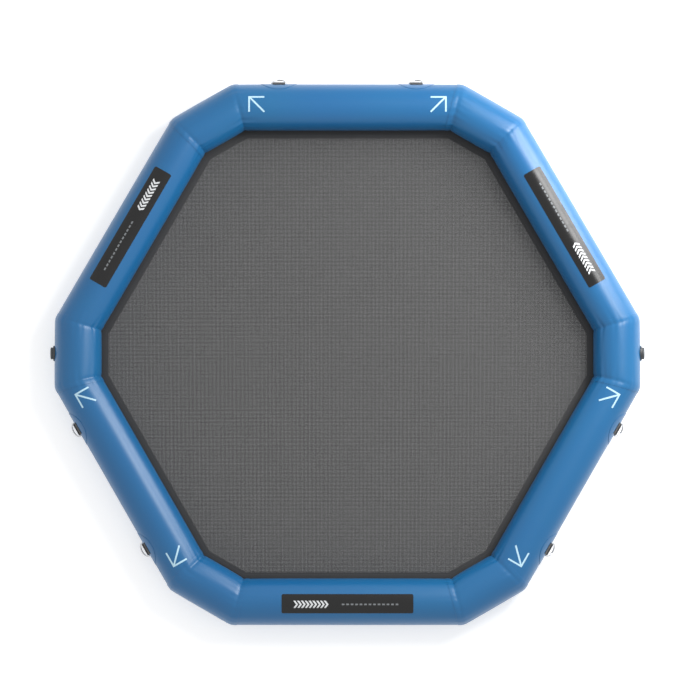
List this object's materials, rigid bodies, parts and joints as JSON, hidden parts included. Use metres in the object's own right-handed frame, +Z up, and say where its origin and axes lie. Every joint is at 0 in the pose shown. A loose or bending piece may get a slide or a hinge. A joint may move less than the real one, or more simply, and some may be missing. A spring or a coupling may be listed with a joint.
{
  "type": "inflatable water hammock",
  "caption": "Hexagonal ring of inflated tubes with an open mesh panel stretched inside, steel tether rings and capped inflation valves.",
  "frame": {"origin": "on the ground under the middle of the tube ring", "axes": "+Z up; +Y towards the long tube at the top of the picture, which carries two tether rings; +X towards the right-hand valve"},
  "size_m": [2.2998, 2.1244, 0.1811],
  "materials": {
    "tube_fabric": "blue PVC-coated fabric, soft sheen",
    "strip_fabric": "charcoal PVC-coated fabric, dull",
    "mesh": "black coated polyester mesh, dull",
    "label": "black printed PVC patch, dull",
    "webbing": "black woven polyester webbing",
    "steel": "polished stainless steel",
    "valve_plastic": "dark grey moulded plastic, satin",
    "cap_plastic": "grey moulded plastic, satin",
    "valve_rubber": "black moulded rubber",
    "button_plastic": "light grey moulded plastic, satin"
  },
  "bodies": {
    "hammock": {"tube_side_upper_right": "tube_fabric", "tube_side_top": "tube_fabric", "tube_side_upper_left": "tube_fabric", "tube_side_lower_left": "tube_fabric", "tube_side_bottom": "tube_fabric", "tube_side_lower_right": "tube_fabric", "tube_corner_right": "tube_fabric", "tube_corner_upper_right": "tube_fabric", "tube_corner_upper_left": "tube_fabric", "tube_corner_left": "tube_fabric", "tube_corner_lower_left": "tube_fabric", "tube_corner_lower_right": "tube_fabric", "chamber_baffle_top": "tube_fabric", "chamber_baffle_bottom": "tube_fabric", "mesh_skirt": "strip_fabric", "mesh_border_upper": "strip_fabric", "mesh_border_lower": "strip_fabric", "mesh_panel": "mesh", "label_patch_upper_right": "label", "label_patch_upper_left": "label", "label_patch_bottom": "label", "d_ring_patch_top_left": "tube_fabric", "d_ring_webbing_top_left": "webbing", "d_ring_patch_top_right": "tube_fabric", "d_ring_webbing_top_right": "webbing", "d_ring_patch_lower_left_upper": "tube_fabric", "d_ring_webbing_lower_left_upper": "webbing", "d_ring_patch_lower_left_lower": "tube_fabric", "d_ring_webbing_lower_left_lower": "webbing", "d_ring_patch_lower_right_upper": "tube_fabric", "d_ring_webbing_lower_right_upper": "webbing", "d_ring_patch_lower_right_lower": "tube_fabric", "d_ring_webbing_lower_right_lower": "webbing", "valve_right_body": "valve_plastic", "valve_right_core": "valve_plastic", "valve_right_gasket": "valve_rubber", "valve_right_backnut": "valve_plastic", "valve_right_spring": "steel", "valve_right_strap": "valve_rubber", "valve_left_body": "valve_plastic", "valve_left_core": "valve_plastic", "valve_left_gasket": "valve_rubber", "valve_left_backnut": "valve_plastic", "valve_left_spring": "steel", "valve_left_strap": "valve_rubber"},
    "d_ring_top_left": {"d_ring_top_left": "steel"},
    "d_ring_top_right": {"d_ring_top_right": "steel"},
    "d_ring_lower_left_upper": {"d_ring_lower_left_upper": "steel"},
    "d_ring_lower_left_lower": {"d_ring_lower_left_lower": "steel"},
    "d_ring_lower_right_upper": {"d_ring_lower_right_upper": "steel"},
    "d_ring_lower_right_lower": {"d_ring_lower_right_lower": "steel"},
    "valve_right_cap": {"valve_right_cap": "cap_plastic"},
    "valve_right_poppet": {"valve_right_poppet": "valve_rubber"},
    "valve_right_stem": {"valve_right_stem": "button_plastic"},
    "valve_left_cap": {"valve_left_cap": "cap_plastic"},
    "valve_left_poppet": {"valve_left_poppet": "valve_rubber"},
    "valve_left_stem": {"valve_left_stem": "button_plastic"}
  },
  "joints": [
    {"name": "d_ring_top_left_hinge", "type": "hinge", "parent": "hammock", "child": "d_ring_top_left", "pos_m": [-0.26735, 1.05413, 0.09053], "axis": [1, 0, 0], "range_deg": [-28, 148]},
    {"name": "d_ring_top_right_hinge", "type": "hinge", "parent": "hammock", "child": "d_ring_top_right", "pos_m": [0.26735, 1.05413, 0.09053], "axis": [1, 0, 0], "range_deg": [-28, 148]},
    {"name": "d_ring_lower_left_upper_hinge", "type": "hinge", "parent": "hammock", "child": "d_ring_lower_left_upper", "pos_m": [-1.04658, -0.29553, 0.09053], "axis": [-0.5, 0.866, 0], "range_deg": [-28, 148]},
    {"name": "d_ring_lower_left_lower_hinge", "type": "hinge", "parent": "hammock", "child": "d_ring_lower_left_lower", "pos_m": [-0.77923, -0.7586, 0.09053], "axis": [-0.5, 0.866, 0], "range_deg": [-28, 148]},
    {"name": "d_ring_lower_right_upper_hinge", "type": "hinge", "parent": "hammock", "child": "d_ring_lower_right_upper", "pos_m": [1.04658, -0.29553, 0.09053], "axis": [-0.5, -0.866, 0], "range_deg": [-28, 148]},
    {"name": "d_ring_lower_right_lower_hinge", "type": "hinge", "parent": "hammock", "child": "d_ring_lower_right_lower", "pos_m": [0.77923, -0.7586, 0.09053], "axis": [-0.5, -0.866, 0], "range_deg": [-28, 148]},
    {"name": "valve_right_cap_flip", "type": "hinge", "parent": "hammock", "child": "valve_right_cap", "pos_m": [1.14104, 0, 0.06203], "axis": [0, 1, 0], "range_deg": [0, 160]},
    {"name": "valve_right_press", "type": "slide", "parent": "hammock", "child": "valve_right_poppet", "axis": [-1, 0, 0], "range_m": [0, 0.005], "stiffness_N_per_m": 600, "springref_m": -0.004, "deforming": ["valve_right_spring"]},
    {"name": "valve_right_turn", "type": "hinge", "parent": "valve_right_poppet", "child": "valve_right_stem", "pos_m": [1.13909, 0, 0.09053], "axis": [-1, 0, 0], "range_deg": [0, 90]},
    {"name": "valve_left_cap_flip", "type": "hinge", "parent": "hammock", "child": "valve_left_cap", "pos_m": [-1.14104, 0, 0.06203], "axis": [0, -1, 0], "range_deg": [0, 160]},
    {"name": "valve_left_press", "type": "slide", "parent": "hammock", "child": "valve_left_poppet", "axis": [1, 0, 0], "range_m": [0, 0.005], "stiffness_N_per_m": 600, "springref_m": -0.004, "deforming": ["valve_left_spring"]},
    {"name": "valve_left_turn", "type": "hinge", "parent": "valve_left_poppet", "child": "valve_left_stem", "pos_m": [-1.13909, 0, 0.09053], "axis": [1, 0, 0], "range_deg": [0, 90]}
  ]
}
